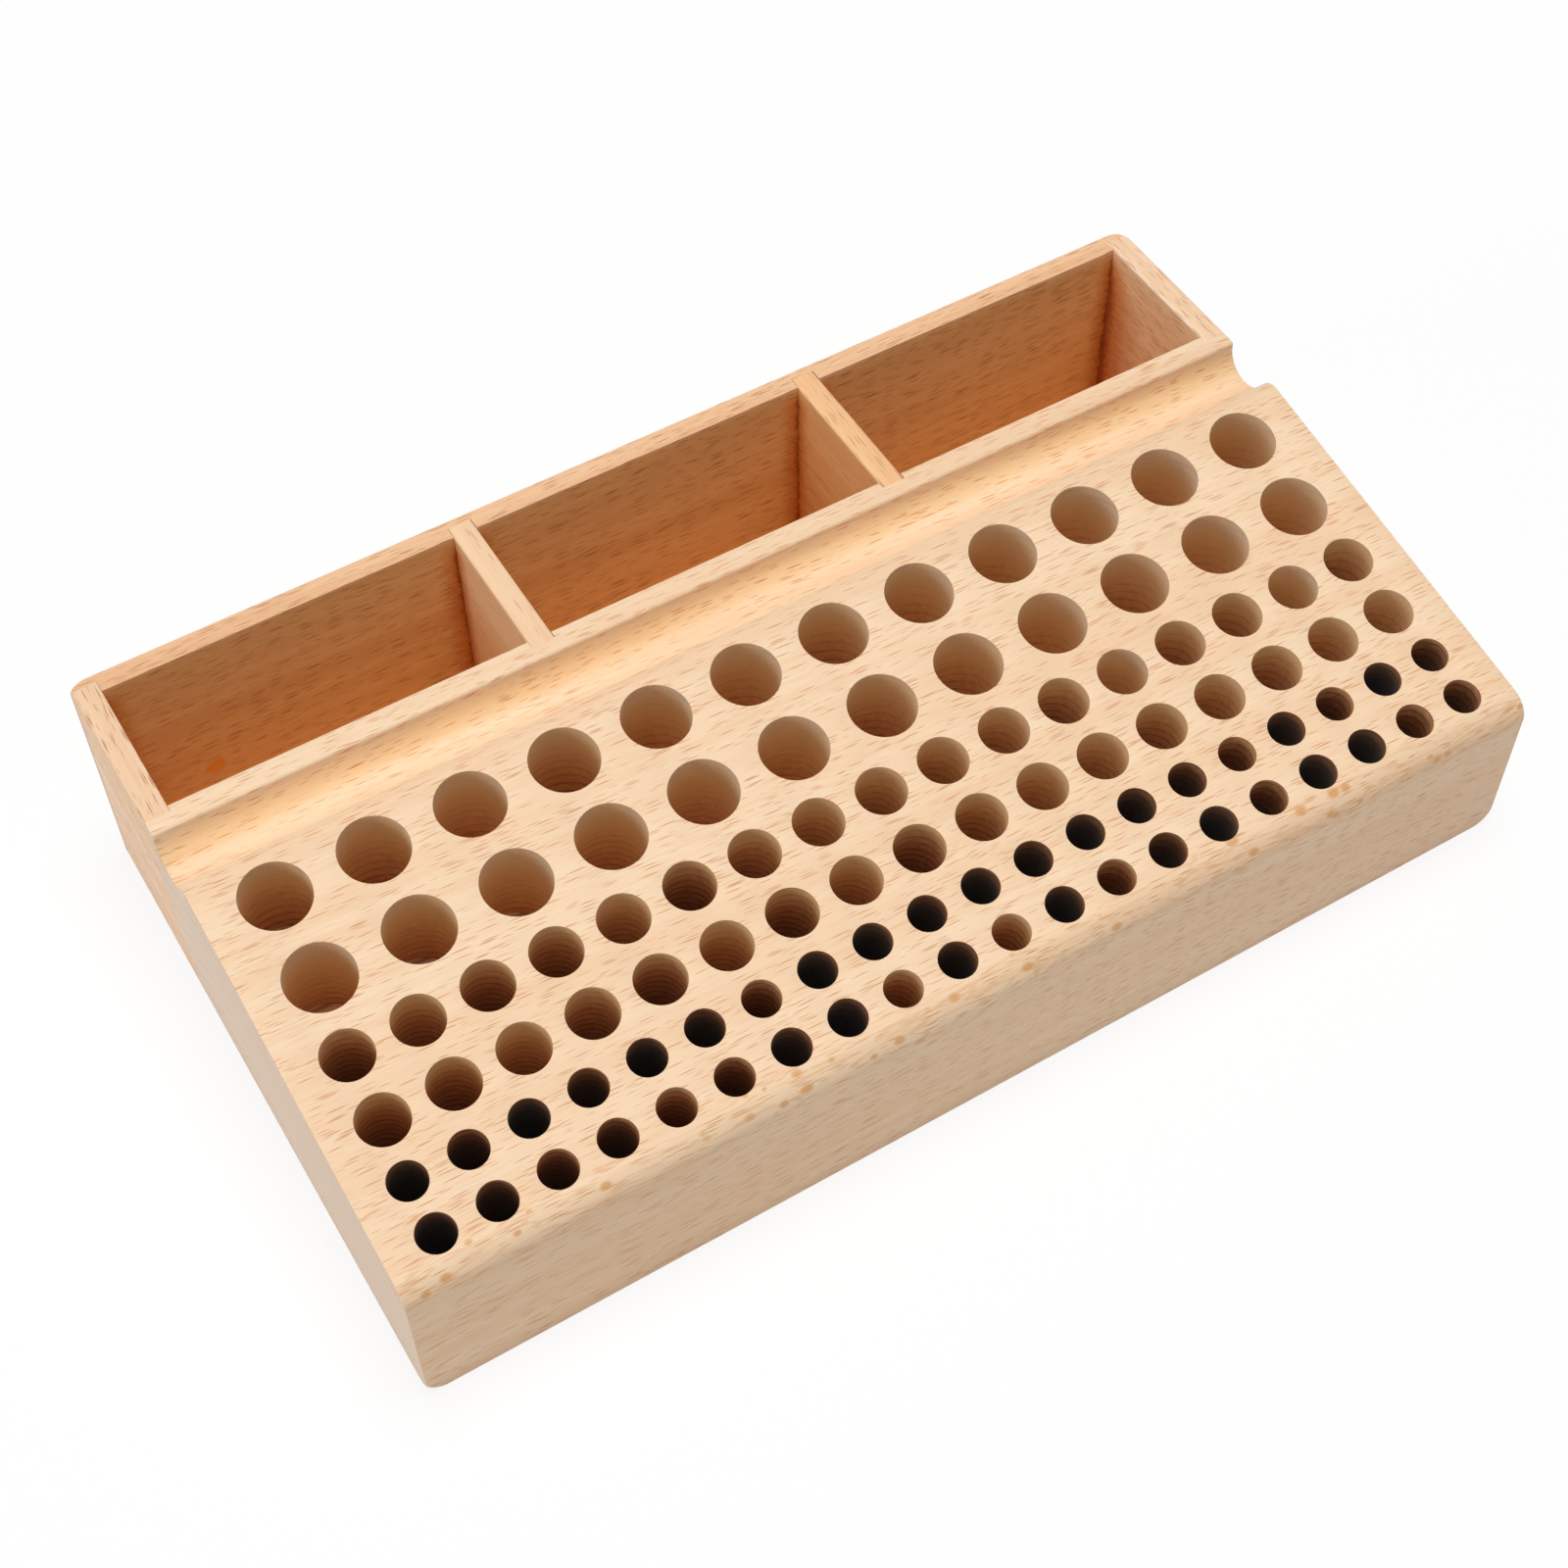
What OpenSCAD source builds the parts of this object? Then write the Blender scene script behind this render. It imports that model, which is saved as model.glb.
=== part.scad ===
// Wooden tool holder block. A solid beech block has a sloped top drilled for upright tools,
// and a round-bottomed groove behind the holes. A three-part tray is glued to its back.
// Millimetres. X is the length, the front faces -Y, and the underside is at Z = 0.

/* [Block] */
// Length of the block and of the tray behind it
length = 260; // [210:1:320]
// Depth from the front of the block to the back of the tray
depth = 148.8; // [136:0.2:166]
// Height of the lip and of the tray walls
height = 57; // [50:0.5:70]
// Height at which the sloped top meets the front face, before that edge is rounded
front_height = 40.2; // [36:0.2:46]
// Radius of the rounded front top edge
front_edge_r = 5.3; // [1:0.1:6]
// Distance along each edge over which the two front bottom corners are rounded off
front_corner = 5; // [2:0.25:6]

/* [Tool holes] */
// Diameter of the holes in the two front rows
small_d = 8; // [5:0.1:10.5]
// Diameter of the holes in the two middle rows
medium_d = 10.8; // [8:0.1:13]
// Diameter of the holes in the two rear rows
large_d = 14.7; // [11:0.1:19]
// Holes in each front row
small_count = 20; // [8:1:22]
// Holes in each middle row
medium_count = 17; // [6:1:18]
// Holes in each rear row
large_count = 12; // [4:1:13]
// Distance from the end of the block to the first hole of a front row
small_end = 11; // [8:0.1:20]
// Distance from the end of the block to the first hole of a middle row
medium_end = 12.4; // [9:0.1:22]
// Distance from the end of the block to the first hole of a rear row
large_end = 14.9; // [12:0.1:26]
// Depth of every hole, square to the slope
hole_depth = 30; // [15:0.5:32]
// Wood in front of the first row, along the slope
front_web = 4.55; // [4.5:0.05:8]
// Wood between the two rows of small holes
small_web = 3.3; // [2:0.05:6]
// Wood between the small and the medium holes
small_medium_web = 3.35; // [2:0.05:6]
// Wood between the two rows of medium holes
medium_web = 3.7; // [2:0.05:6]
// Wood between the medium and the large holes
medium_large_web = 3.85; // [2:0.05:6]
// Wood between the two rows of large holes
large_web = 4.55; // [2:0.05:6]
// Wood between the last row and the groove
rear_web = 4.6; // [3:0.05:8]

/* [Groove and lip] */
// Radius of the groove's round bottom
groove_r = 6; // [4:0.1:7]
// Depth of the groove below the top of the lip
groove_depth = 7.2; // [7:0.1:10]
// Radius of the rounded ridge between the slope and the groove
ridge_r = 3.8; // [1.5:0.1:4.4]
// Width of the lip behind the groove
lip_w = 5.2; // [4:0.1:8]
// Radius of the lip's front top edge
lip_edge_r = 0.8; // [0.2:0.1:1.5]

/* [Tray] */
// Thickness of the tray's end walls and dividers
board_t = 5.4; // [4.8:0.1:7]
// Thickness of the tray's rear wall
rear_t = 4.8; // [4.4:0.1:7]
// Depth of the housings in the back of the block
front_let = 1.6; // [1:0.1:2.5]
// Depth of the housings in the rear wall
rear_let = 2.8; // [1.5:0.1:3.4]
// Thickness of the bottom board
floor_t = 4; // [3:0.1:6]
// Height of the bottom board above the underside
floor_lift = 4; // [2:0.1:8]
// Depth of the grooves that hold the bottom board
floor_let = 2.4; // [1.5:0.1:3]
// Gap at the glued side of each housing
joint_gap = 0.1; // [0.05:0.05:0.3]
// Distance along each edge over which the two rear top corners are rounded off
rear_corner = 4; // [2:0.25:5]

/* [Hidden] */
$fn = 96;

// Distance of each row's centre line from the front edge, along the slope, front row first
row_1 = front_web + small_d / 2;
row_2 = row_1 + small_d + small_web;
row_3 = row_2 + small_d / 2 + small_medium_web + medium_d / 2;
row_4 = row_3 + medium_d + medium_web;
row_5 = row_4 + medium_d / 2 + medium_large_web + large_d / 2;
row_6 = row_5 + large_d + large_web;

// The slope rises to the height of the lip just where the groove begins
slope_length = row_6 + large_d / 2 + rear_web;
slope_rise = height - front_height;
slope_angle = asin(slope_rise / slope_length);
slope_run = slope_length * cos(slope_angle);
groove_y = slope_run + groove_r;
groove_z = height - groove_depth + groove_r;
lip_y = slope_run + 2 * groove_r;
block_depth = lip_y + lip_w;
rear_y = depth - rear_t;

// The tray takes up the depth that the block leaves, and its three spaces are equal
tray_clear = rear_y - block_depth;
space_w = (length - 4 * board_t) / 3;
divider_x = (space_w + board_t) / 2;
board_length = tray_clear + front_let + rear_let;
floor_top = floor_lift + floor_t;
floor_length = length - 2 * board_t + 2 * floor_let;
floor_depth = tray_clear + 2 * floor_let;

// How far a cut runs past the surface it opens
past = 2;
// Radius of the ball that rounds a corner, for each millimetre of its reach along the edges
ball_per_reach = 1.6;

block_colour = [0.94, 0.81, 0.65];
end_colour = [0.93, 0.77, 0.62];
rear_colour = [0.91, 0.72, 0.54];
left_divider_colour = [0.96, 0.81, 0.64];
right_divider_colour = [0.92, 0.71, 0.51];
floor_colour = [0.88, 0.72, 0.55];

// Unit direction at an angle
function toward(angle) = [cos(angle), sin(angle)];

// Puts the middle of the footprint at the origin
module placed() {
    translate([0, -depth / 2, 0])
        children();
}

// What a rounded edge loses, outside the circle about its centre, between two directions
module edge_loss(centre, r, from, to) {
    difference() {
        polygon([
            centre,
            centre + 2 * r * toward(from),
            centre + 3 * r * toward((from + to) / 2),
            centre + 2 * r * toward(to)
        ]);
        translate(centre)
            circle(r);
    }
}

// What a rounded corner loses, where three faces meet at the origin and the wood is on the plus sides
module corner_loss(reach) {
    ball = ball_per_reach * reach;
    middle = (reach + sqrt(3 * ball * ball - 2 * reach * reach)) / 3;
    difference() {
        translate([-past, -past, -past])
            cube(reach + past);
        translate([middle, middle, middle])
            sphere(ball);
    }
}

// The same shape at both ends
module both_ends() {
    children();
    mirror([1, 0, 0])
        children();
}

// The block's section, with the front on the left.
// The ridge runs into the slope and the groove without a corner
module block_section() {
    front_z = front_height + front_edge_r * tan(slope_angle) - front_edge_r / cos(slope_angle);
    groove = [groove_y, groove_z];
    groove_below = (front_height + groove_y * tan(slope_angle) - groove_z) * cos(slope_angle);
    ridge_below = ridge_r - groove_below;
    ridge_before = sqrt(pow(groove_r + ridge_r, 2) - pow(ridge_below, 2));
    ridge = groove - ridge_before * toward(slope_angle) - ridge_below * toward(90 + slope_angle);
    to_groove = groove - ridge;
    difference() {
        polygon([
            [0, 0],
            [block_depth, 0],
            [block_depth, height],
            [slope_run, height],
            [0, front_height]
        ]);
        translate(groove)
            circle(groove_r);
        translate([groove_y - groove_r, groove_z])
            square([2 * groove_r, groove_depth]);
        edge_loss([front_edge_r, front_z], front_edge_r, 180, 90 + slope_angle);
        edge_loss(ridge, ridge_r, 90 + slope_angle, atan2(to_groove.y, to_groove.x));
        edge_loss([lip_y + lip_edge_r, height - lip_edge_r], lip_edge_r, 180, 90);
    }
}

// One row of holes, drilled square to the slope
module hole_row(along, d, count, end) {
    pitch = (length - 2 * end) / (count - 1);
    for (i = [0 : count - 1])
        translate([end - length / 2 + i * pitch, 0, front_height])
            rotate([slope_angle, 0, 0])
                translate([0, along, -hole_depth])
                    cylinder(h = hole_depth + past, d = d);
}

module tool_holes() {
    hole_row(row_1, small_d, small_count, small_end);
    hole_row(row_2, small_d, small_count, small_end);
    hole_row(row_3, medium_d, medium_count, medium_end);
    hole_row(row_4, medium_d, medium_count, medium_end);
    hole_row(row_5, large_d, large_count, large_end);
    hole_row(row_6, large_d, large_count, large_end);
}

// The left end wall's board. A gap widens its housing on the inner side
module end_board(gap = 0, over = 0) {
    translate([-length / 2 - over, block_depth - front_let, -over])
        cube([board_t + gap + over, board_length, height + 2 * over]);
}

// The left divider's board. A gap widens its housing on both sides
module divider_board(gap = 0, over = 0) {
    translate([-divider_x - board_t / 2 - gap, block_depth - front_let, floor_top])
        cube([board_t + 2 * gap, board_length, height - floor_top + over]);
}

// The bottom board. A gap widens its grooves at the edges and above
module floor_board(gap = 0) {
    translate([-floor_length / 2 - gap, block_depth - floor_let - gap, floor_lift])
        cube([floor_length + 2 * gap, floor_depth + 2 * gap, floor_t + gap]);
}

// Housings for both end walls and both dividers
module wall_housings() {
    both_ends() {
        end_board(joint_gap, past);
        divider_board(joint_gap, past);
    }
}

module rear_corner_loss() {
    translate([-length / 2, depth, height])
        rotate([180, 0, 0])
            corner_loss(rear_corner);
}

// One solid block with every cut in it
module tool_block() {
    color(block_colour)
        placed()
            difference() {
                rotate([90, 0, 90])
                    linear_extrude(length, center = true)
                        block_section();
                tool_holes();
                wall_housings();
                floor_board(joint_gap);
                both_ends()
                    translate([-length / 2, 0, 0])
                        corner_loss(front_corner);
            }
}

// An end wall, grooved for the bottom board and let into the block and the rear wall
module end_wall() {
    difference() {
        end_board();
        floor_board(joint_gap);
        rear_corner_loss();
    }
}

module tray_left_end() {
    color(end_colour)
        placed()
            end_wall();
}

module tray_right_end() {
    color(end_colour)
        placed()
            mirror([1, 0, 0])
                end_wall();
}

// The rear wall laps the ends of the end walls and holds the dividers in housings
module tray_rear() {
    color(rear_colour)
        placed()
            difference() {
                translate([-length / 2, rear_y, 0])
                    cube([length, rear_t, height]);
                wall_housings();
                floor_board(joint_gap);
                both_ends()
                    rear_corner_loss();
            }
}

module divider_left() {
    color(left_divider_colour)
        placed()
            divider_board();
}

module divider_right() {
    color(right_divider_colour)
        placed()
            mirror([1, 0, 0])
                divider_board();
}

module tray_floor() {
    color(floor_colour)
        placed()
            floor_board();
}

tool_block();
tray_left_end();
tray_right_end();
tray_rear();
divider_left();
divider_right();
tray_floor();
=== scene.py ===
import math
import random

import bmesh
import bpy
from mathutils import Matrix, Vector


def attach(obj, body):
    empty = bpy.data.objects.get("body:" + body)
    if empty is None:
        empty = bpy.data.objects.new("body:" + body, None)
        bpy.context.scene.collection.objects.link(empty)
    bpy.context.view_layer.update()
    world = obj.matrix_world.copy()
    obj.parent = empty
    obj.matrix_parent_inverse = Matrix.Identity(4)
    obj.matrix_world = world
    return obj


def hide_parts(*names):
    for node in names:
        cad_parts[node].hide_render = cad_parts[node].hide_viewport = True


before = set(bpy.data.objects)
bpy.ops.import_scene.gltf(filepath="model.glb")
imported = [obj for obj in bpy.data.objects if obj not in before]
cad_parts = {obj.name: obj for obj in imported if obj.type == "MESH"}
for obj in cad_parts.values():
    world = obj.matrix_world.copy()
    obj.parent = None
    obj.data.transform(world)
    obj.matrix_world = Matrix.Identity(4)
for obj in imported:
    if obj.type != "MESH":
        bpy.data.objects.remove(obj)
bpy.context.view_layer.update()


# Tool block. One solid piece of beech, planed to a slope with a rounded front edge, and run with
# a round-bottomed groove behind it. The tray's housings are sawn in its back and left undressed.
MM = 0.001
length = 260.0
depth = 148.8
height = 57.0
front_height = 40.2
slope_length = 94.9
front_edge_r = 5.3
groove_r = 6.0
groove_depth = 7.2
ridge_r = 3.8
lip_width = 5.2
lip_edge_r = 0.8
front_corner = 5.0
board = 5.4
front_let = 1.6
floor_thick = 4.0
floor_lift = 4.0
floor_let = 2.4
gap = 0.05
end_sanded = 0.7

slope = math.asin((height - front_height) / slope_length)
slope_run = slope_length * math.cos(slope)
lip_front = slope_run + 2 * groove_r
block_back = lip_front + lip_width
up_slope = Vector((0, math.cos(slope), math.sin(slope)))
off_slope = Vector((0, -math.sin(slope), math.cos(slope)))
groove_floor = height - groove_depth
groove_centre = Vector((0, slope_run + groove_r, groove_floor + groove_r))
groove_below = Vector((0, 0, front_height)).dot(off_slope) - groove_centre.dot(off_slope)
ridge_below = ridge_r - groove_below
ridge_before = math.sqrt((groove_r + ridge_r) ** 2 - ridge_below ** 2)
ridge_centre = groove_centre - ridge_before * up_slope - ridge_below * off_slope
divider_x = ((length - 4 * board) / 3 + board) / 2
floor_top = floor_lift + floor_thick
floor_half = length / 2 - board + floor_let


def at(x, y, z):
    """A point in metres, from millimetres along the block, back from its front, and up."""
    return Vector((x, y - depth / 2, z)) * MM


def cut_box(low, high):
    """A box between two corners in millimetres, as a cutter."""
    low, high = at(*low), at(*high)
    shape = bmesh.new()
    place = Matrix.Translation((low + high) / 2) @ Matrix.Diagonal((*(high - low), 1))
    bmesh.ops.create_cube(shape, size=1, matrix=place)
    return shape


def as_object(name, shape):
    """An object at the origin with the shape's mesh."""
    mesh = bpy.data.meshes.new(name)
    shape.to_mesh(mesh)
    shape.free()
    made = bpy.data.objects.new(name, mesh)
    bpy.context.scene.collection.objects.link(made)
    return made


def sawn(shape, cuts):
    """The same wood with each box sawn out of it."""
    wood = as_object("wood", shape)
    saws = []
    for low, high in cuts:
        saws.append(as_object("saw", cut_box(low, high)))
        cut = wood.modifiers.new("cut", "BOOLEAN")
        cut.operation = "DIFFERENCE"
        cut.solver = "EXACT"
        cut.object = saws[-1]
    result = bmesh.new()
    result.from_object(wood, bpy.context.evaluated_depsgraph_get())
    for spent in [wood] + saws:
        mesh = spent.data
        bpy.data.objects.remove(spent)
        bpy.data.meshes.remove(mesh)
    bmesh.ops.remove_doubles(result, verts=result.verts, dist=0.002 * MM)
    return result


def near(value, *levels):
    return any(abs(value - level) < 1e-5 for level in levels)


def soften(shape, wanted, width, steps=3, least_angle=0.6):
    """Rounds the sharp edges whose two ends are both wanted."""
    sharp = [
        e for e in shape.edges
        if e.is_manifold and e.calc_face_angle() > least_angle and wanted(*(v.co for v in e.verts))
    ]
    bmesh.ops.bevel(
        shape, geom=sharp, offset=width * MM, offset_type="OFFSET", segments=steps,
        profile=0.5, affect="EDGES", material=-1, clamp_overlap=True,
    )


def round_corner(shape, corners, reach, steps=8):
    """Rounds off the corners of a piece over a distance along their edges."""
    bmesh.ops.bevel(
        shape, geom=corners, offset=reach * MM, offset_type="OFFSET", segments=steps,
        profile=0.5, affect="VERTICES", material=-1, clamp_overlap=True,
    )


def smooth_rounds(shape, largest):
    """Shades the narrow faces of rounded edges smooth, up to an area in square millimetres."""
    for face in shape.faces:
        face.smooth = face.calc_area() < largest * MM * MM


def finish_piece(name, shape, material, node, sharp_angle=0.55):
    """Makes the piece, marks its sharp edges, and puts it on the frame in its material."""
    bmesh.ops.recalc_face_normals(shape, faces=shape.faces)
    made = as_object(name, shape)
    made.data.set_sharp_from_angle(angle=sharp_angle)
    made.data.materials.append(material)
    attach(made, "root")
    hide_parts(node)
    return made


touch = ridge_centre.lerp(groove_centre, ridge_r / (ridge_r + groove_r))
to_groove = groove_centre - ridge_centre
lean = math.atan2(to_groove.z, to_groove.y)
foot_y = touch.y + (touch.z - groove_floor) * math.tan(lean)
climb = (front_height + touch.y * math.tan(slope) - touch.z) / (1 + math.tan(lean) * math.tan(slope))
crest_y, crest_z = touch.y - climb * math.tan(lean), touch.z + climb
outline = [
    (0, 0), (block_back, 0), (block_back, height), (lip_front, height), (lip_front, groove_floor),
    (foot_y, groove_floor), (crest_y, crest_z), (0, front_height),
]
block = bmesh.new()
end_face = block.faces.new([block.verts.new(at(-length / 2, y, z)) for y, z in outline])
drawn = bmesh.ops.extrude_face_region(block, geom=[end_face])["geom"]
bmesh.ops.translate(
    block, verts=[v for v in drawn if isinstance(v, bmesh.types.BMVert)], vec=(length * MM, 0, 0)
)
bmesh.ops.recalc_face_normals(block, faces=block.faces)


def round_arris(y, z, width, steps):
    """Rounds the lengthwise edge that stands at one point of the block's section."""
    spot = at(0, y, z)
    arris = [
        e for e in block.edges
        if all(near(v.co.y, spot.y) and near(v.co.z, spot.z) for v in e.verts)
    ]
    bmesh.ops.bevel(
        block, geom=arris, offset=width * MM, offset_type="OFFSET", segments=steps,
        profile=0.5, affect="EDGES", material=-1, clamp_overlap=True,
    )


almost = 0.999
round_arris(lip_front, groove_floor, groove_r * almost, 12)
round_arris(foot_y, groove_floor, groove_r * math.tan((math.pi / 2 - lean) / 2) * almost, 12)
round_arris(0, front_height, front_edge_r * math.tan((math.pi / 2 - slope) / 2), 12)
round_arris(crest_y, crest_z, ridge_r * math.tan((math.pi / 2 + slope - lean) / 2) * almost, 10)
round_arris(lip_front, height, lip_edge_r, 5)
front_bottom = at(length / 2, 0, 0)
round_corner(
    block,
    [v for v in block.verts if near(v.co.y, front_bottom.y) and near(v.co.z, front_bottom.z)],
    front_corner,
)
over = 2.0
end_cut = length / 2 - board - gap
divider_half = board / 2 + gap
let_y = block_back - front_let
block_cuts = [
    ((-length / 2 - over, let_y, -over), (-end_cut, block_back + over, height + over)),
    ((end_cut, let_y, -over), (length / 2 + over, block_back + over, height + over)),
    ((-floor_half - gap, block_back - floor_let - gap, floor_lift),
     (floor_half + gap, block_back + over, floor_top + gap)),
]
for side in (-1, 1):
    block_cuts.append((
        (side * divider_x - divider_half, let_y, floor_top),
        (side * divider_x + divider_half, block_back + over, height + over),
    ))
block = sawn(block, block_cuts)
half = length / 2 * MM
back_y = at(0, block_back, 0).y
top_z = height * MM
soften(
    block,
    lambda a, b: (near(abs(a.x), half) and near(abs(b.x), half))
    or (near(a.z, 0) and near(b.z, 0))
    or (near(a.z, top_z) and near(b.z, top_z) and near(a.y, back_y) and near(b.y, back_y)),
    end_sanded,
)
smooth_rounds(block, 400)


# Tool holes. Six rows are bored square to the slope with flat-bottomed bits, two rows of a size.
# The small bits ran hot and charred the wood, the middle ones browned it and the large ones hardly.
hole_depth = 30.0
hole_rim = 0.05
most_heat = 1.15
most_rim_burn = 0.63
# Painted shade: the flat bottoms are darker than their walls, deep in the holes.
bottom_shade = 0.22
hole_rows = [
    # along the slope, diameter, count, first from the end, flats round it, how burnt in tenths
    (8.55, 8.0, 20, 11.0, 32, "a867569a494a68a7aa67"),
    (19.85, 8.0, 20, 11.0, 32, "a8a8a96aa9a9a98696a7"),
    (32.6, 10.8, 17, 12.4, 40, "44344343433333333"),
    (47.1, 10.8, 17, 12.4, 40, "43443433333323323"),
    (63.7, 14.7, 12, 14.9, 48, "2" * 12),
    (82.95, 14.7, 12, 14.9, 48, "2" * 12),
]
char_draw = random.Random(11)


def bored_hole(radius, steps):
    """A hole's skin, mouth up at the origin: a worn rim, the wall and the flat bottom."""
    skin = bmesh.new()
    rim = [
        (radius + hole_rim * (1 - math.sin(turn)), -hole_rim * (1 - math.cos(turn)))
        for turn in (0, math.pi / 6, math.pi / 3, math.pi / 2)
    ]
    side = rim + [(radius, -1.9 * radius), (radius, -hole_depth), (0, -hole_depth)]
    dots = [skin.verts.new((r * MM, 0, z * MM)) for r, z in side]
    lines = [skin.edges.new(pair) for pair in zip(dots, dots[1:])]
    bmesh.ops.spin(
        skin, geom=dots + lines, cent=(0, 0, 0), axis=(0, 0, 1), angle=2 * math.pi, steps=steps,
        use_merge=True,
    )
    bmesh.ops.remove_doubles(skin, verts=skin.verts, dist=0.001 * MM)
    for face in skin.faces:
        face.smooth = True
    mesh = bpy.data.meshes.new("bored_hole")
    skin.to_mesh(mesh)
    skin.free()
    return mesh


holes = bmesh.new()
char_and_shade = holes.verts.layers.float.new("char_and_shade")
slope_turn = Matrix.Rotation(slope, 4, "X")
for along, across, count, first, steps, burns in hole_rows:
    skin = bored_hole(across / 2, steps)
    pitch = (length - 2 * first) / (count - 1)
    for i in range(count):
        mouth = at(first - length / 2 + i * pitch, 0, front_height) + up_slope * along * MM
        before = len(holes.verts)
        holes.from_mesh(skin)
        holes.verts.ensure_lookup_table()
        bored = holes.verts[before:]
        burn = int(burns[i], 11) / 10 + char_draw.uniform(-0.04, 0.04)
        heat = burn / most_heat
        rim_burn = most_rim_burn * heat * heat * (3 - 2 * heat)
        for v in bored:
            # Char on the wall and rim; at the bottom, painted shade on top of the char.
            if v.co.z < -0.9 * hole_depth * MM:
                v[char_and_shade] = burn + bottom_shade
            elif v.co.z < -hole_rim * MM * 2:
                v[char_and_shade] = burn
            elif v.co.z < 0:
                v[char_and_shade] = rim_burn
        bmesh.ops.transform(
            holes, matrix=Matrix.Translation(mouth) @ slope_turn, verts=bored
        )
    bpy.data.meshes.remove(skin)
hole_mesh = bpy.data.meshes.new("holes")
holes.to_mesh(hole_mesh)
holes.free()

top_face = max(
    (f for f in block.faces if f.normal.dot(off_slope) > 0.999), key=lambda f: f.calc_area()
)
bmesh.ops.delete(block, geom=[top_face], context="FACES_ONLY")
block.from_mesh(hole_mesh)
bpy.data.meshes.remove(hole_mesh)
filled = bmesh.ops.triangle_fill(
    block, edges=[e for e in block.edges if e.is_boundary], use_beauty=True, normal=off_slope
)["geom"]
for made in filled:
    if isinstance(made, bmesh.types.BMFace):
        made.smooth = False


def add_node(tree, kind, inputs=None, **settings):
    """One shader node, with its settings made and each input set or linked."""
    made = tree.nodes.new("ShaderNode" + kind)
    for name, value in settings.items():
        setattr(made, name, value)
    for name, value in (inputs or {}).items():
        if isinstance(value, bpy.types.NodeSocket):
            tree.links.new(value, made.inputs[name])
        else:
            made.inputs[name].default_value = value
    return made


def math_node(tree, what, *values):
    return add_node(tree, "Math", dict(enumerate(values)), operation=what).outputs[0]


def fade(tree, value, low, high, start=0.0, stop=1.0):
    """A value eased from one end of a range to the other."""
    return add_node(
        tree, "MapRange",
        {"Value": value, "From Min": low, "From Max": high, "To Min": start, "To Max": stop},
        interpolation_type="SMOOTHSTEP",
    ).outputs["Result"]


def blend(tree, share, under, over):
    """One colour laid over another."""
    return add_node(
        tree, "Mix", {0: share, 6: under, 7: over}, data_type="RGBA", clamp_factor=True
    ).outputs[2]


def tint(tree, share, colour, tone):
    """A colour darkened or warmed by a tone, for a share of the surface."""
    return add_node(
        tree, "Mix", {0: share, 6: colour, 7: tone}, data_type="RGBA", blend_type="MULTIPLY",
        clamp_factor=True,
    ).outputs[2]


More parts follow.
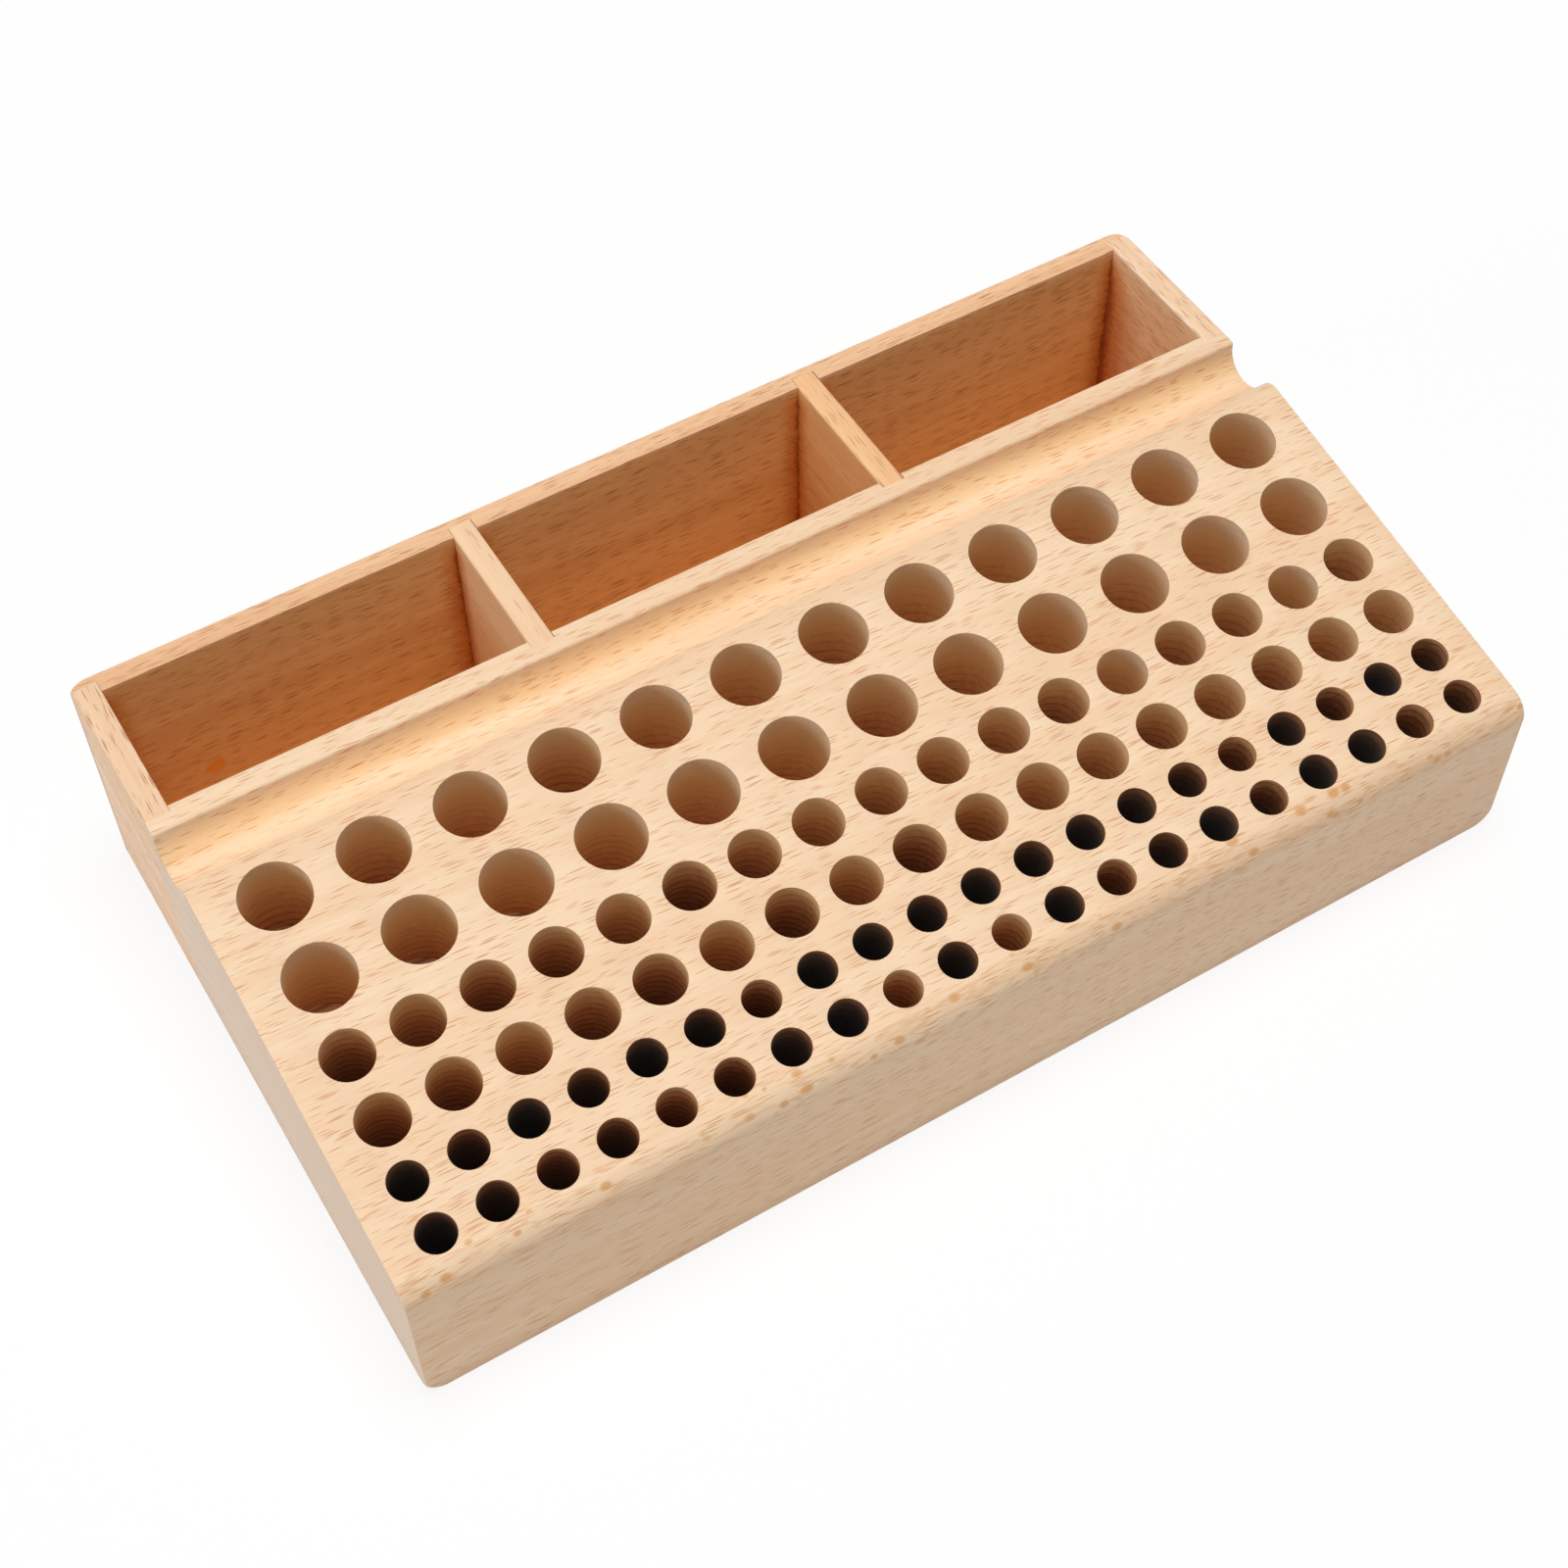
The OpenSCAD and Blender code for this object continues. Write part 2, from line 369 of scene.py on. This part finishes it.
class Beech:
    """Beech with its grain along one line: bands, fibres, brown flecks and yearly rings."""

    def __init__(self, name, pale, deep, streak, fleck, end, turn=0.0, shift=(0, 0, 0),
                 fleck_size=(6.8, 0.35, 0.41), fleck_share=0.85, fleck_depth=0.95,
                 pith=(-30.0, -70.0), year=2.7):
        self.material = bpy.data.materials.new(name)
        self.material.use_nodes = True
        tree = self.tree = self.material.node_tree
        tree.nodes.clear()
        coords = add_node(tree, "TexCoord")
        self.grain = add_node(tree, "Mapping", {
            "Vector": coords.outputs["Object"], "Location": shift, "Rotation": (0, 0, turn),
            "Scale": (1000, 1000, 1000),
        }).outputs[0]
        sway = add_node(tree, "TexNoise", {
            "Vector": add_node(tree, "Mapping", {
                "Vector": self.grain, "Scale": (0.007, 0.028, 0.028),
            }).outputs[0],
            "Scale": 1.0, "Detail": 0.0,
        }).outputs["Color"]
        self.bent = add_node(
            tree, "VectorMath", {0: sway, 1: (0, 7, 7), 2: self.grain}, operation="MULTIPLY_ADD"
        ).outputs[0]

        band = self.noise(190, 5.5, 5.5, detail=3.0)
        self.fibre = self.noise(16, 0.32, 0.32, detail=2.0)
        streaks = fade(tree, self.noise(26, 1.0, 1.3, detail=2.0), 0.56, 0.74)
        self.flecks = self.dashes(fleck_size, fleck_share)
        hairs = self.dashes((11.0, 0.36, 0.42), 0.8)

        radial = add_node(
            tree, "VectorMath", {0: self.bent, 1: (0, 1, 1), 2: (0, -pith[0], -pith[1])},
            operation="MULTIPLY_ADD",
        ).outputs[0]
        ring = add_node(tree, "VectorMath", {0: radial}, operation="LENGTH").outputs["Value"]
        ring = math_node(tree, "DIVIDE", ring, year)
        self.late = fade(tree, math_node(tree, "PINGPONG", ring, 0.5), 0.16, 0.0)
        wide = math_node(tree, "PINGPONG", math_node(tree, "MULTIPLY", ring, 0.42), 0.5)
        wide = fade(tree, wide, 0.2, 0.0)

        normal = add_node(tree, "Mapping", {
            "Vector": coords.outputs["Normal"], "Rotation": (0, 0, turn),
        }, vector_type="NORMAL").outputs[0]
        facing = math_node(
            tree, "ABSOLUTE", add_node(tree, "SeparateXYZ", {0: normal}).outputs[0]
        )
        self.end_grain = fade(tree, facing, 0.55, 0.92)

        colour = blend(tree, fade(tree, band, 0.32, 0.68), pale, deep)
        colour = blend(tree, math_node(tree, "MULTIPLY", streaks, 0.4), colour, streak)
        colour = blend(tree, math_node(tree, "MULTIPLY", self.late, 0.1), colour, streak)
        colour = blend(
            tree, math_node(tree, "MULTIPLY", fade(tree, self.fibre, 0.5, 0.75), 0.22),
            colour, streak,
        )
        colour = blend(tree, math_node(tree, "MULTIPLY", hairs, 0.45), colour, streak)
        pores = fade(tree, self.noise(9, 0.22, 0.22, detail=1.0), 0.5, 0.72)
        lines = tuple(0.55 * c for c in end[:3]) + (1,)
        cross = blend(tree, math_node(tree, "MULTIPLY", wide, 0.14), end, lines)
        cross = blend(tree, math_node(tree, "MULTIPLY", self.late, 0.3), cross, lines)
        cross = blend(tree, math_node(tree, "MULTIPLY", pores, 0.32), cross, lines)
        colour = blend(tree, self.end_grain, colour, cross)
        shown = math_node(
            tree, "MULTIPLY", self.flecks, fade(tree, self.end_grain, 0.0, 1.0, fleck_depth, 0.12)
        )
        self.colour = blend(tree, shown, colour, fleck)

    def stretched(self, along, across, through):
        """The wood's own coordinates, in units of a pattern's size along and across the grain."""
        return add_node(self.tree, "Mapping", {
            "Vector": self.bent, "Scale": (1 / along, 1 / across, 1 / through),
        }).outputs[0]

    def dashes(self, size, share):
        """Short strokes along the grain, of about one size, in a share of the places for them."""
        tree = self.tree
        cell = add_node(tree, "TexVoronoi", {
            "Vector": self.stretched(*size), "Scale": 1.0, "Randomness": 1.0,
        })
        draw = add_node(tree, "SeparateXYZ", {0: cell.outputs["Color"]}).outputs
        reach = math_node(tree, "MULTIPLY_ADD", draw[0], 0.26, 0.18)
        mark = add_node(tree, "MapRange", {
            "Value": cell.outputs["Distance"], "From Min": reach,
            "From Max": math_node(tree, "MULTIPLY", reach, 0.5),
        }).outputs["Result"]
        return math_node(tree, "MULTIPLY", mark, math_node(tree, "LESS_THAN", draw[1], share))

    def noise(self, along, across, through, detail):
        return add_node(self.tree, "TexNoise", {
            "Vector": self.stretched(along, across, through), "Scale": 1.0, "Detail": detail,
            "Roughness": 0.58,
        }).outputs["Fac"]

    def sealed(self):
        """Planed and sanded, with no finish: dull, with open pores along the flecks."""
        tree = self.tree
        relief = math_node(
            tree, "MULTIPLY_ADD", self.flecks, -0.4, math_node(tree, "MULTIPLY", self.fibre, 0.6)
        )
        bump = add_node(tree, "Bump", {"Height": relief, "Strength": 0.3, "Distance": 0.00012})
        shader = add_node(tree, "BsdfPrincipled", {
            "Base Color": self.colour,
            "Roughness": fade(tree, self.fibre, 0.25, 0.75, 0.5, 0.66),
            "Specular IOR Level": 0.32,
            "Normal": bump.outputs[0],
        })
        add_node(tree, "OutputMaterial", {"Surface": shader.outputs[0]})
        return self.material


block_wood = Beech(
    "block_beech", pale=(0.95, 0.71, 0.48, 1), deep=(0.92, 0.64, 0.41, 1),
    streak=(0.86, 0.50, 0.28, 1), fleck=(0.67, 0.30, 0.12, 1), end=(0.85, 0.66, 0.50, 1),
    turn=math.radians(2.0),
)
tree = block_wood.tree


def along_line(y, z, start, full):
    """A band of the block's surface along one point of its section, from nothing to one."""
    line = at(0, y, z)
    away = add_node(tree, "VectorMath", {
        0: add_node(tree, "TexCoord").outputs["Object"], 1: (0, 1, 1), 2: (0, -line.y, -line.z),
    }, operation="MULTIPLY_ADD").outputs[0]
    away = add_node(tree, "VectorMath", {0: away}, operation="LENGTH").outputs["Value"]
    return fade(tree, away, start * MM, full * MM)


on_edge = along_line(1.8, 38.6, 5.2, 2.8)
wave = math_node(tree, "MULTIPLY", block_wood.noise(16, 1.8, 1.8, detail=1.0), 4.0)
scales = fade(tree, math_node(tree, "PINGPONG", wave, 0.5), 0.2, 0.04)
block_wood.colour = blend(
    tree, math_node(tree, "MULTIPLY", math_node(tree, "MULTIPLY", scales, on_edge), 0.42),
    block_wood.colour, (0.76, 0.42, 0.20, 1),
)
spots = math_node(tree, "MULTIPLY", block_wood.dashes((4.2, 3.0, 3.0), 0.5), on_edge)
block_wood.colour = blend(
    tree, math_node(tree, "MULTIPLY", spots, 0.75), block_wood.colour, (0.72, 0.34, 0.10, 1)
)
# Painted shade: the groove is darkened and warmed just under the lip.
lip_shade = along_line(lip_front, groove_floor + 1.0, 4.6, 2.4)
# Painted highlight: lightens and cools the wood where the ridge meets the groove.
ridge_highlight = along_line(touch.y, touch.z, 4.2, 1.6)
for share, tone in ((lip_shade, (0.98, 0.93, 0.78, 1)), (ridge_highlight, (1.04, 1.10, 1.15, 1))):
    block_wood.colour = tint(tree, share, block_wood.colour, tone)
# Char of the hole walls, with painted shade at their bottoms.
burn_and_shade = add_node(tree, "Attribute", attribute_name="char_and_shade").outputs["Fac"]
layers = block_wood.noise(60, 1.1, 1.1, detail=3.0)
burn_and_shade_tone = add_node(tree, "ValToRGB", {0: math_node(
    tree, "MULTIPLY_ADD", math_node(tree, "SUBTRACT", layers, 0.5), 0.34,
    math_node(
        tree, "MULTIPLY_ADD", math_node(tree, "MULTIPLY", block_wood.late, burn_and_shade), 0.5, burn_and_shade
    ),
)})
ramp = burn_and_shade_tone.color_ramp.elements
ramp[0].position, ramp[0].color = 0.0, (0.92, 0.64, 0.355, 1)
ramp[1].position, ramp[1].color = 1.0, (0.12, 0.105, 0.096, 1)
for spot, tone in ((0.22, (0.86, 0.565, 0.295, 1)), (0.42, (0.66, 0.34, 0.165, 1)),
                   (0.6, (0.38, 0.16, 0.07, 1)), (0.8, (0.21, 0.12, 0.08, 1))):
    stop = ramp.new(spot)
    stop.color = tone
block_wood.colour = blend(
    tree, fade(tree, burn_and_shade, 0.0, 0.14), block_wood.colour, burn_and_shade_tone.outputs[0]
)
finish_piece("drilled_block", block, block_wood.sealed(), "tool_block")


# Bottom board. A thin board that floats in grooves in the block, the end walls and the rear wall.
# It carries what lies in the tray and is hidden but for its upper face.
rear_board = 4.8
rear_front = depth - rear_board
floor_low = (-floor_half, block_back - floor_let, floor_lift)
floor_high = (floor_half, rear_front + floor_let, floor_top)
bottom = cut_box(floor_low, floor_high)
soften(bottom, lambda a, b: True, 0.3)
bottom_wood = Beech(
    "floor_beech", pale=(0.86, 0.58, 0.37, 1), deep=(0.76, 0.46, 0.26, 1),
    streak=(0.68, 0.36, 0.18, 1), fleck=(0.40, 0.20, 0.10, 1), end=(0.62, 0.44, 0.31, 1),
    shift=(310, 40, 90),
)
finish_piece("bottom_board", bottom, bottom_wood.sealed(), "tray_floor")


# End walls. Two short boards with the grain front to back, let into the block and lapped by the
# rear wall. Their rear top corners are rounded together with the ends of the rear wall.
rear_corner = 4.0
rear_let = 2.8
sanded = 0.45
board_round = 60
wall_end = rear_front + rear_let


def position(wood):
    """Where a point of the piece is, along the block, to the back and up."""
    return add_node(
        wood.tree, "SeparateXYZ", {0: add_node(wood.tree, "TexCoord").outputs["Object"]}
    ).outputs


def inner_faces(wood):
    """One on the faces that look into the tray, and nothing on the outer faces."""
    tree, place = wood.tree, position(wood)
    off_end = fade(tree, math_node(tree, "ABSOLUTE", place[0]), half - 0.5 * MM, half - 1.0 * MM)
    off_back = fade(tree, place[1], at(0, depth - 0.5, 0).y, at(0, depth - 1.0, 0).y)
    return math_node(tree, "MULTIPLY", off_end, off_back)


def painted_tray_shade(wood, tone, most):
    """Painted shade: darkens the faces that look into the tray, more towards the bottom, and spares the
    rest.
    """
    tree, up = wood.tree, position(wood)[2]
    low = fade(tree, up, top_z, top_z - 1.5 * MM, 0.0, 0.7 * most)
    lower = fade(tree, up, top_z, 0.0, 0.0, 0.3 * most)
    share = math_node(tree, "MULTIPLY", inner_faces(wood), math_node(tree, "ADD", low, lower))
    wood.colour = tint(tree, share, wood.colour, tone)


def glue_and_corner_shade(wood, off_corner, top_spread=6.5, low_spread=6.5):
    """Dark, ragged glue along an upright inner corner, and beside it a reddish painted shade in the corner
    that widens and deepens towards the bottom.
    """
    tree, up = wood.tree, position(wood)[2]
    ragged = add_node(tree, "TexNoise", {
        "Vector": wood.grain, "Scale": 0.8, "Detail": 3.0, "Roughness": 0.7,
    }).outputs["Fac"]
    ragged = math_node(tree, "MULTIPLY_ADD", ragged, 4.0 * MM, -1.0 * MM)
    ragged = math_node(tree, "ADD", ragged, off_corner)
    lower = fade(tree, up, top_z - 0.3 * MM, top_z - 5.5 * MM, 0.0, 0.9)
    lower = math_node(tree, "MULTIPLY", lower, inner_faces(wood))
    spread = fade(tree, up, top_z, top_z - 16.0 * MM, top_spread * MM, low_spread * MM)
    spread = math_node(tree, "DIVIDE", ragged, spread)
    # Painted shade in the corner beside the glue, wider and deeper lower down.
    corner_shade = math_node(tree, "MULTIPLY", fade(tree, spread, 1.0, 0.12, 0.0, 0.9), lower)
    wood.colour = blend(tree, corner_shade, wood.colour, (0.60, 0.16, 0.010, 1))
    bead = math_node(tree, "MULTIPLY", fade(tree, spread, 0.3, 0.08), lower)
    wood.colour = blend(tree, bead, wood.colour, (0.33, 0.065, 0.008, 1))


def off_line(wood, axis, *places):
    """The distance from the nearest of some upright lines, the same on both halves of the tray."""
    tree, spot = wood.tree, position(wood)[axis]
    if axis == 0:
        spot = math_node(tree, "ABSOLUTE", spot)
    nearest = None
    for place in places:
        away = math_node(tree, "ABSOLUTE", math_node(tree, "SUBTRACT", spot, place))
        nearest = away if nearest is None else math_node(tree, "MINIMUM", nearest, away)
    return nearest


for side, name, shift in ((-1, "tray_left_end", (120, 700, 30)), (1, "tray_right_end", (530, 80, 60))):
    inner, outer = side * (length / 2 - board), side * length / 2
    wall = cut_box((min(inner, outer), let_y, 0), (max(inner, outer), depth, height))
    corner = at(outer, depth, height)
    round_corner(wall, [v for v in wall.verts if (v.co - corner).length < 1e-5], rear_corner)
    wall = sawn(wall, [
        ((min(inner, outer) - over, wall_end, -over),
         (max(inner, outer) + over, depth + over, height + over)),
        ((-floor_half - gap, 0, floor_lift), (floor_half + gap, depth + over, floor_top + gap)),
    ])
    outer_x = outer * MM
    soften(
        wall,
        lambda a, b: (near(a.z, top_z) and near(b.z, top_z) and near(a.x, b.x))
        or (near(a.x, outer_x) and near(b.x, outer_x) and near(a.z, 0) and near(b.z, 0)),
        sanded,
    )
    smooth_rounds(wall, board_round)
    wall_wood = Beech(
        name + "_beech", pale=(0.96, 0.695, 0.49, 1), deep=(0.90, 0.605, 0.385, 1),
        streak=(0.78, 0.45, 0.25, 1), fleck=(0.53, 0.22, 0.08, 1), end=(0.72, 0.54, 0.42, 1),
        turn=math.radians(90), shift=shift, fleck_size=(6.4, 0.34, 0.4),
    )
    # Painted shade on the faces inside the tray, deeper towards the bottom.
    painted_tray_shade(wall_wood, (0.83, 0.59, 0.18, 1), 0.42)
    # Glue in the corner by the rear wall, with painted shade beside it.
    glue_and_corner_shade(wall_wood, off_line(wall_wood, 1, at(0, rear_front, 0).y), 5.5, 17.0)
    finish_piece(name.replace("tray_", "") + "_wall", wall, wall_wood.sealed(), name)


# Rear wall. One long board whose ends lap the end walls, with housings for the dividers and a
# groove for the bottom board. It is redder than the block, and its inner face has painted shade that
# deepens towards the bottom.
rear = cut_box((-length / 2, rear_front, 0), (length / 2, depth, height))
round_corner(
    rear, [v for v in rear.verts if v.co.y > at(0, depth, 0).y - 1e-5 and near(v.co.z, top_z)],
    rear_corner,
)
rear_cuts = [
    ((-length / 2 - over, 0, -over), (-end_cut, wall_end, height + over)),
    ((end_cut, 0, -over), (length / 2 + over, wall_end, height + over)),
    ((-floor_half - gap, 0, floor_lift), (floor_half + gap, rear_front + floor_let + gap, floor_top + gap)),
]
for side in (-1, 1):
    rear_cuts.append((
        (side * divider_x - divider_half, 0, floor_top),
        (side * divider_x + divider_half, wall_end, height + over),
    ))
rear = sawn(rear, rear_cuts)
outside_y, inside_y = at(0, depth, 0).y, at(0, rear_front, 0).y
soften(
    rear,
    lambda a, b: (near(a.y, outside_y) and near(b.y, outside_y))
    or (near(a.z, top_z) and near(b.z, top_z) and near(a.y, inside_y) and near(b.y, inside_y)),
    sanded,
)
smooth_rounds(rear, board_round)
rear_wood = Beech(
    "rear_beech", pale=(0.91, 0.57, 0.335, 1), deep=(0.83, 0.475, 0.255, 1),
    streak=(0.70, 0.36, 0.17, 1), fleck=(0.43, 0.17, 0.06, 1), end=(0.68, 0.48, 0.36, 1),
    shift=(40, 260, 500), fleck_size=(6.6, 0.31, 0.36), fleck_share=0.9,
)
# Painted shade on the faces inside the tray, deeper towards the bottom.
painted_tray_shade(rear_wood, (0.87, 0.65, 0.12, 1), 0.7)
# Glue in the upright inner corners, with painted shade beside it.
corners = [length / 2 - board, divider_x - board / 2, divider_x + board / 2]
glue_and_corner_shade(rear_wood, off_line(rear_wood, 0, *(c * MM for c in corners)))
tree = rear_wood.tree
drip = at(-106.9, rear_front, 19.5)
off_drip = add_node(tree, "VectorMath", {
    0: add_node(tree, "TexCoord").outputs["Object"], 1: drip,
}, operation="DISTANCE").outputs["Value"]
drip_rag = math_node(tree, "MULTIPLY_ADD", rear_wood.noise(3.0, 2.0, 2.0, detail=2.0), 4.0 * MM, off_drip)
rear_wood.colour = blend(
    tree, fade(tree, drip_rag, 4.4 * MM, 3.8 * MM, 0.0, 0.85), rear_wood.colour, (0.85, 0.27, 0.02, 1)
)
finish_piece("rear_wall", rear, rear_wood.sealed(), "tray_rear")


# Dividers. Two boards that part the tray in three, glued in housings at both ends and standing on
# the bottom board. The left one was cut from pale, quiet wood, the right one from redder wood.
divider_tones = {
    "left": dict(
        pale=(0.95, 0.68, 0.44, 1), deep=(0.91, 0.60, 0.36, 1), streak=(0.86, 0.50, 0.27, 1),
        fleck=(0.60, 0.36, 0.20, 1), end=(0.74, 0.56, 0.42, 1), fleck_share=0.2, shift=(80, 20, 10),
    ),
    "right": dict(
        pale=(0.94, 0.575, 0.30, 1), deep=(0.86, 0.47, 0.22, 1), streak=(0.74, 0.36, 0.15, 1),
        fleck=(0.52, 0.26, 0.12, 1), end=(0.66, 0.46, 0.32, 1), fleck_share=0.55, shift=(640, 310, 75),
    ),
}
for side, name in ((-1, "left"), (1, "right")):
    divider = cut_box(
        (side * divider_x - board / 2, let_y, floor_top),
        (side * divider_x + board / 2, wall_end, height),
    )
    soften(divider, lambda a, b: near(a.z, top_z) and near(b.z, top_z) and near(a.x, b.x), sanded)
    smooth_rounds(divider, board_round)
    divider_wood = Beech(name + "_divider_beech", turn=math.radians(90), **divider_tones[name])
    # Painted shade on the faces inside the tray, deeper towards the bottom.
    painted_tray_shade(divider_wood, (0.79, 0.60, 0.26, 1), 0.4 if name == "left" else 0.62)
    # Glue in the corner by the rear wall, with painted shade beside it.
    glue_and_corner_shade(divider_wood, off_line(divider_wood, 1, at(0, rear_front, 0).y))
    finish_piece(
        name + "_divider", divider, divider_wood.sealed(), "divider_" + name
    )


# Studio. A plain pale floor, an open white surround, a large soft lamp overhead and a weak one low
# on the left. The camera sees the surround and the floor as white, and the floor keeps the shadow.
def seen_plainly(tree):
    """One where the camera sees a surface, also in a reflection or through glass."""
    path = add_node(tree, "LightPath").outputs
    return math_node(
        tree, "MAXIMUM", path["Is Camera Ray"],
        math_node(tree, "MAXIMUM", path["Is Glossy Ray"], path["Is Transmission Ray"]),
    )


ground = bmesh.new()
bmesh.ops.create_grid(ground, x_segments=1, y_segments=1, size=4.0)
ground = as_object("floor", ground)
paper = bpy.data.materials.new("white_paper")
paper.use_nodes = True
tree = paper.node_tree
tree.nodes.clear()
matt = add_node(tree, "BsdfDiffuse", {"Color": (0.9, 0.9, 0.9, 1)})
lit = add_node(tree, "Emission", {"Color": (1, 1, 1, 1), "Strength": 1.03})
away = add_node(
    tree, "VectorMath", {0: add_node(tree, "TexCoord").outputs["Object"]}, operation="LENGTH"
).outputs["Value"]
floor_mix = add_node(tree, "MixShader", {
    0: math_node(tree, "MULTIPLY", seen_plainly(tree), fade(tree, away, 0.3, 0.9, 0.8, 1.0)),
    1: matt.outputs[0], 2: lit.outputs[0],
})
add_node(tree, "OutputMaterial", {"Surface": floor_mix.outputs[0]})
ground.data.materials.append(paper)

surround = bpy.data.worlds.new("white_surround")
surround.use_nodes = True
tree = surround.node_tree
tree.nodes.clear()
sky = add_node(tree, "Background", {
    "Color": (1, 1, 1, 1), "Strength": fade(tree, seen_plainly(tree), 0.0, 1.0, 0.21, 1.0),
})
add_node(tree, "OutputWorld", {"Surface": sky.outputs[0]})
bpy.context.scene.world = surround

for name, way, away, size, energy in (
    ("high_lamp", (0.03, -0.01, 0.99), 2.2, 1.3, 35.5),
    ("side_lamp", (-0.96, 0.02, 0.28), 1.8, 0.8, 6.6),
):
    lamp = bpy.data.lights.new(name, "AREA")
    lamp.shape = "DISK"
    lamp.size = size
    lamp.energy = energy
    lamp_object = bpy.data.objects.new(name, lamp)
    lamp_object.location = Vector(way).normalized() * away
    lamp_object.rotation_euler = lamp_object.location.to_track_quat("Z", "Y").to_euler()
    bpy.context.scene.collection.objects.link(lamp_object)


# Camera. It stands high at the front left, near the left end, as in the photograph.
camera = bpy.data.cameras.new("camera")
camera.sensor_width = 36.0
camera.lens = 60.34
camera.shift_x = 0.0014
camera.shift_y = 0.0073
camera.clip_start = 0.01
camera_object = bpy.data.objects.new("camera", camera)
camera_object.location = (-0.17472, -0.28548, 0.47136)
camera_object.rotation_euler = [math.radians(a) for a in (36.213, 0.3766, -31.0089)]
bpy.context.scene.collection.objects.link(camera_object)
bpy.context.scene.camera = camera_object
bpy.context.scene.view_settings.view_transform = "Standard"
